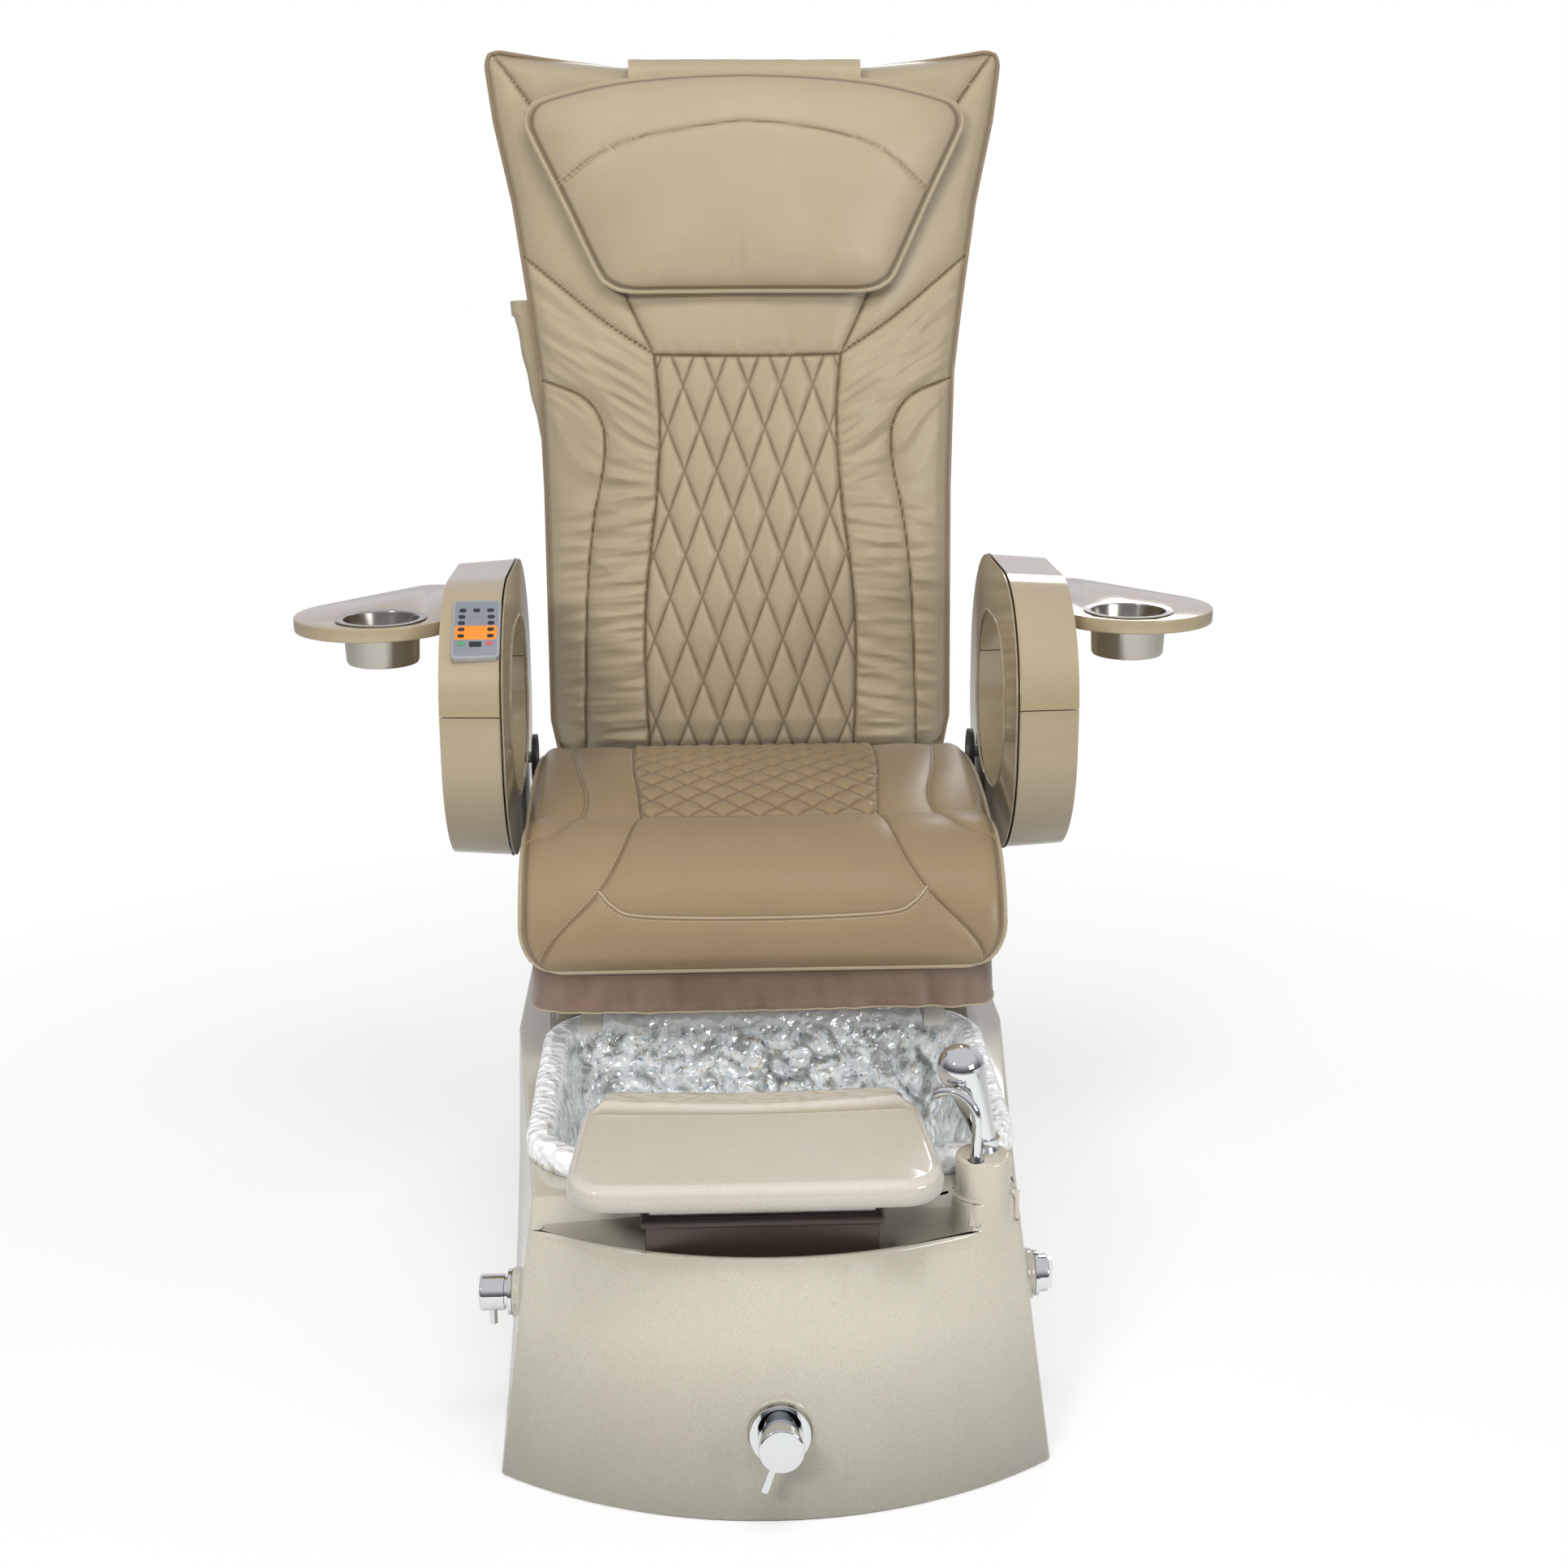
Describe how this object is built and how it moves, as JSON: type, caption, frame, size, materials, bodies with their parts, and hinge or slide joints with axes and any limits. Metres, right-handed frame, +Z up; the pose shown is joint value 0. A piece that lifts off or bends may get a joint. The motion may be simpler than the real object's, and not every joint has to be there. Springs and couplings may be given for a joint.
{
  "type": "pedicure spa chair",
  "caption": "Reclining massage armchair on a foot-bath base, with swing-out side trays, padded quilted back, clear basin, footrest, spray and mixer taps.",
  "frame": {"origin": "on the floor, at the middle of the base's footprint", "axes": "+Z up, -Y towards the foot bath and the seated person's feet, +X to the right seen from the front"},
  "size_m": [1.116, 1.2256, 1.4942],
  "materials": {
    "gelcoat": "gloss, fine metallic grain",
    "gelcoat_pale": "gloss",
    "arm_gloss": "gloss",
    "crystal": "hammered, iridescent",
    "leather_back": "pearl sheen",
    "leather_seat": "pearl sheen",
    "chrome": "polished",
    "steel": "satin",
    "black_steel": "satin black",
    "dark_plastic": "matt",
    "white_plastic": "matt",
    "brass_fitting": "machined",
    "plywood": "sanded",
    "roller_rubber": "matt",
    "remote_silver": "satin silver",
    "remote_key": "matt"
  },
  "bodies": {
    "base": {"base_shell": "gelcoat", "base_pan": "dark_plastic", "rear_hatch": "gelcoat", "hatch_screws": "steel", "tub_bowl": "crystal", "drain_flange": "chrome", "drain_pipe": "white_plastic", "water_inlets": "brass_fitting", "power_inlet": "dark_plastic", "control_box": "dark_plastic", "jet_cover": "white_plastic", "jet_pump": "dark_plastic", "footrest_socket": "dark_plastic", "faucet_ferrules": "chrome", "front_mixer_body": "chrome", "side_mixer_body": "chrome", "drain_knob_bezel": "chrome", "fixed_rails": "steel", "seat_actuator": "dark_plastic"},
    "footrest": {"footrest_column": "steel", "footrest_pad": "gelcoat_pale"},
    "hand_shower": {"hand_shower": "chrome"},
    "spout": {"spout": "chrome"},
    "front_mixer_knob": {"front_mixer_knob": "chrome"},
    "side_mixer_knob": {"side_mixer_knob": "chrome"},
    "drain_knob": {"drain_knob": "chrome"},
    "drain_stopper": {"drain_stopper": "chrome"},
    "jet_impeller": {"jet_impeller": "white_plastic"},
    "seat": {"moving_rails": "steel", "seat_actuator_rod": "steel", "seat_frame": "black_steel", "back_hinge_pins": "steel", "arm_pivot_pins": "steel", "recline_motor": "dark_plastic", "seat_board": "plywood", "seat_skirt": "leather_seat", "seat_cushion": "leather_seat"},
    "arm_right": {"arm_upper_shell_right": "arm_gloss", "arm_lower_shell_right": "arm_gloss", "arm_inner_ring_right": "arm_gloss", "tray_bracket_right": "steel"},
    "arm_left": {"arm_upper_shell_left": "arm_gloss", "arm_lower_shell_left": "arm_gloss", "arm_inner_ring_left": "arm_gloss", "tray_bracket_left": "steel", "remote_housing": "remote_silver", "remote_keys": "remote_key"},
    "tray_right": {"tray_right": "arm_gloss"},
    "tray_left": {"tray_left": "arm_gloss"},
    "tray_bowl_right": {"tray_bowl_right": "steel"},
    "tray_bowl_left": {"tray_bowl_left": "steel"},
    "back": {"back_frame": "black_steel", "back_shell": "arm_gloss", "back_cushion": "leather_back", "massage_rails": "steel", "headrest_strap": "leather_back", "side_pocket": "leather_back"},
    "massage_carriage": {"massage_carriage": "black_steel"},
    "massage_rollers": {"massage_rollers": "roller_rubber"},
    "headrest": {"headrest_pillow": "leather_back"}
  },
  "joints": [
    {"name": "seat_slide", "type": "slide", "parent": "base", "child": "seat", "axis": [0, -1, 0], "range_m": [-0.05, 0.12]},
    {"name": "back_recline", "type": "hinge", "parent": "seat", "child": "back", "pos_m": [0, 0.43, 0.47], "axis": [-1, 0, 0], "range_deg": [0, 30]},
    {"name": "arm_lift_right", "type": "hinge", "parent": "seat", "child": "arm_right", "pos_m": [0.295, 0.3, 0.588], "axis": [-1, 0, 0], "range_deg": [0, 60]},
    {"name": "arm_lift_left", "type": "hinge", "parent": "seat", "child": "arm_left", "pos_m": [-0.295, 0.3, 0.588], "axis": [-1, 0, 0], "range_deg": [0, 60]},
    {"name": "tray_swing_right", "type": "hinge", "parent": "arm_right", "child": "tray_right", "pos_m": [0.41, 0.279, 0.801], "axis": [0, 0, 1], "range_deg": [0, 90]},
    {"name": "tray_swing_left", "type": "hinge", "parent": "arm_left", "child": "tray_left", "pos_m": [-0.41, 0.279, 0.801], "axis": [0, 0, -1], "range_deg": [0, 90]},
    {"name": "tray_bowl_lift_right", "type": "slide", "parent": "tray_right", "child": "tray_bowl_right", "axis": [0, 0, 1], "range_m": [0, 0.08]},
    {"name": "tray_bowl_lift_left", "type": "slide", "parent": "tray_left", "child": "tray_bowl_left", "axis": [0, 0, 1], "range_m": [0, 0.08]},
    {"name": "footrest_height", "type": "slide", "parent": "base", "child": "footrest", "axis": [0, 0, 1], "range_m": [0, 0.08]},
    {"name": "hand_shower_lift", "type": "slide", "parent": "base", "child": "hand_shower", "axis": [0, 0, 1], "range_m": [0, 0.15]},
    {"name": "spout_swivel", "type": "hinge", "parent": "base", "child": "spout", "pos_m": [0.206, -0.441, 0.348], "axis": [0, 0, 1], "range_deg": [-5, 50]},
    {"name": "front_mixer_turn", "type": "hinge", "parent": "base", "child": "front_mixer_knob", "pos_m": [0, -0.53256, 0.097], "axis": [0, -0.9919, 0.1272], "range_deg": [-45, 45]},
    {"name": "side_mixer_turn", "type": "hinge", "parent": "base", "child": "side_mixer_knob", "pos_m": [-0.279, -0.38, 0.177], "axis": [-1, 0, 0], "range_deg": [-45, 45]},
    {"name": "drain_knob_turn", "type": "hinge", "parent": "base", "child": "drain_knob", "pos_m": [0.279, -0.38, 0.185], "axis": [1, 0, 0], "range_deg": [0, 90]},
    {"name": "drain_stopper_lift", "type": "slide", "parent": "base", "child": "drain_stopper", "axis": [0, 0, 1], "range_m": [0, 0.008]},
    {"name": "jet_spin", "type": "hinge", "parent": "base", "child": "jet_impeller", "pos_m": [0.11, -0.11, 0.121], "axis": [0, 0, 1], "continuous": true},
    {"name": "massage_travel", "type": "slide", "parent": "back", "child": "massage_carriage", "axis": [0, 0.1599, 0.9871], "range_m": [-0.22, 0.38]},
    {"name": "massage_roller_spin", "type": "hinge", "parent": "massage_carriage", "child": "massage_rollers", "pos_m": [0, 0.52163, 0.92318], "axis": [1, 0, 0], "continuous": true},
    {"name": "headrest_flip", "type": "hinge", "parent": "back", "child": "headrest", "pos_m": [0, 0.50635, 1.46054], "axis": [-1, 0, 0], "range_deg": [0, 74]}
  ],
  "couplings": [
    {"joint": "drain_stopper_lift", "follows": "drain_knob_turn", "m_per_rad": 0.005093}
  ]
}
